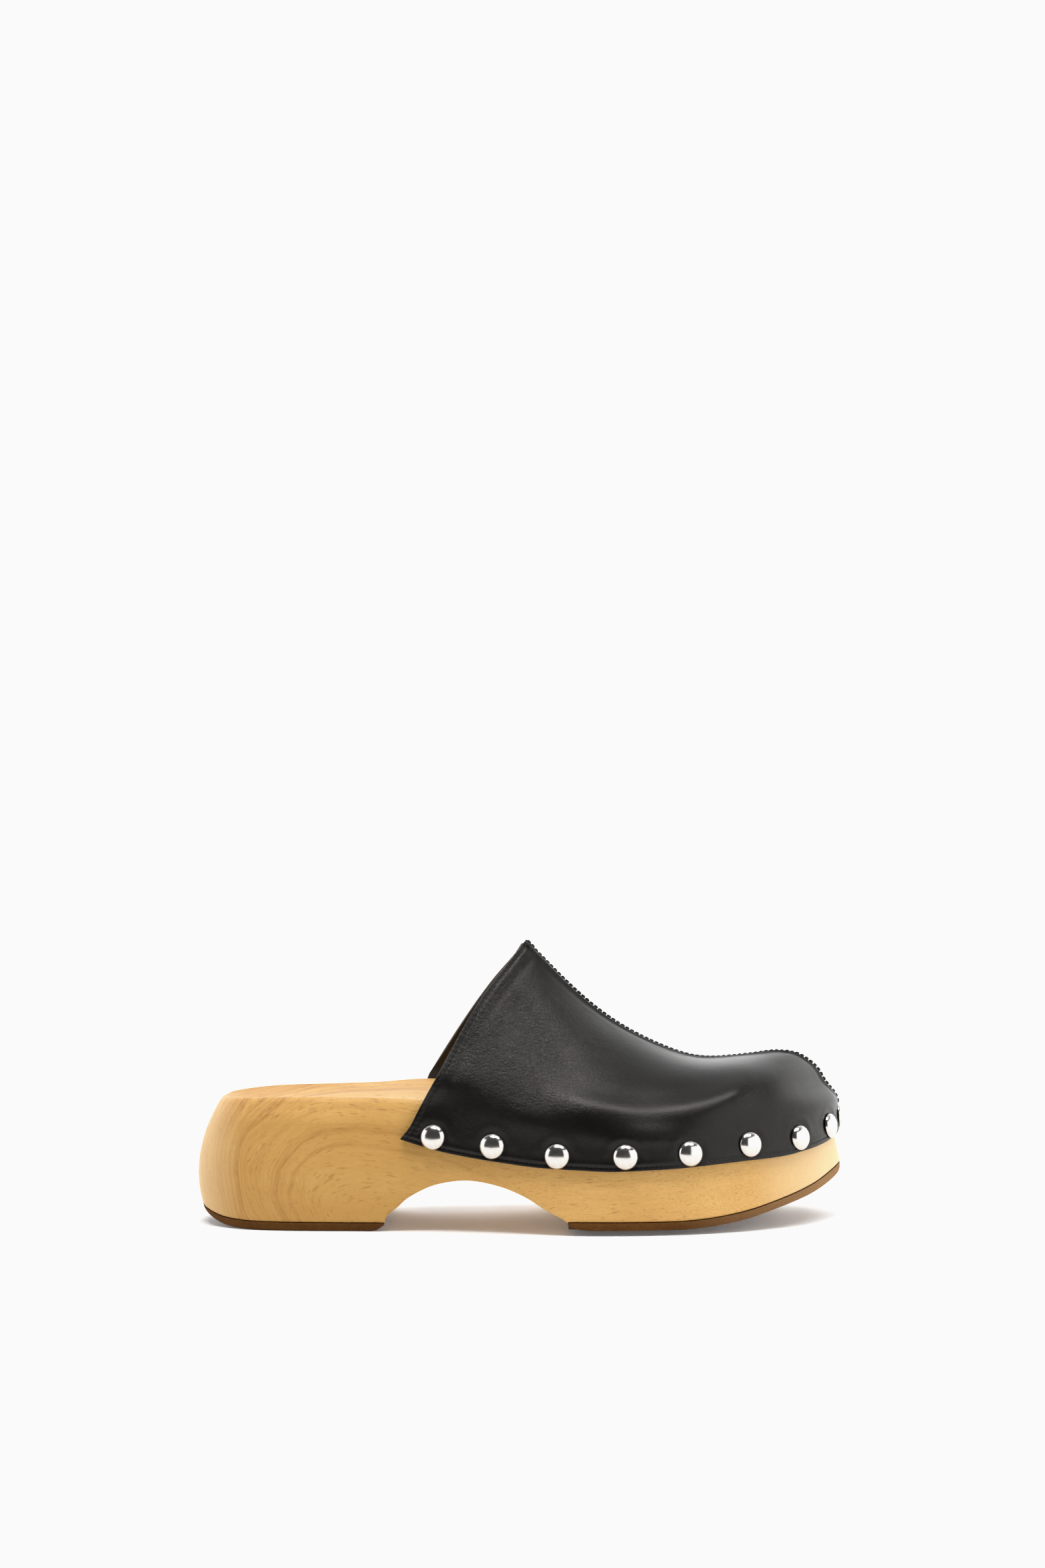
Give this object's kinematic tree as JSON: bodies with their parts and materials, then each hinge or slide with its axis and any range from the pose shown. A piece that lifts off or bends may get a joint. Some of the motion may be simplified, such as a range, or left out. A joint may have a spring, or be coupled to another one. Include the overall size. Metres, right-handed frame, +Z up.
{
  "type": "wooden clog",
  "caption": "Backless closed-toe clog: carved wooden sole with an arched waist, rubber treads, and a sewn black leather upper held by a row of dome-headed nails.",
  "frame": {"origin": "on the ground under the middle of the bounding box", "axes": "+X towards the toe, +Y towards the inner side of the foot, +Z up"},
  "size_m": [0.2631, 0.1054, 0.1134],
  "materials": {
    "wood": "oiled light wood, satin, growth rings and short pores",
    "rubber": "matt brown crepe-like rubber",
    "leather_outer": "black grained leather, satin",
    "leather_lining": "matt dark lining leather",
    "thread": "waxed black sewing thread",
    "stud_metal": "polished nickel dome"
  },
  "bodies": {
    "root": {"wooden_sole": "wood", "heel_tread": "rubber", "forefoot_tread": "rubber", "upper_lateral": "leather_outer", "upper_medial": "leather_outer", "lining_lateral": "leather_lining", "lining_medial": "leather_lining", "centre_seam_thread": "thread", "topline_thread_lateral": "thread", "topline_thread_medial": "thread", "edge_thread_lateral": "thread", "edge_thread_medial": "thread", "stud_01": "stud_metal", "stud_02": "stud_metal", "stud_03": "stud_metal", "stud_04": "stud_metal", "stud_05": "stud_metal", "stud_06": "stud_metal", "stud_07": "stud_metal", "stud_08": "stud_metal", "stud_09": "stud_metal", "stud_10": "stud_metal", "stud_11": "stud_metal", "stud_12": "stud_metal", "stud_13": "stud_metal", "stud_14": "stud_metal", "stud_15": "stud_metal", "stud_16": "stud_metal", "stud_17": "stud_metal"}
  },
  "joints": []
}
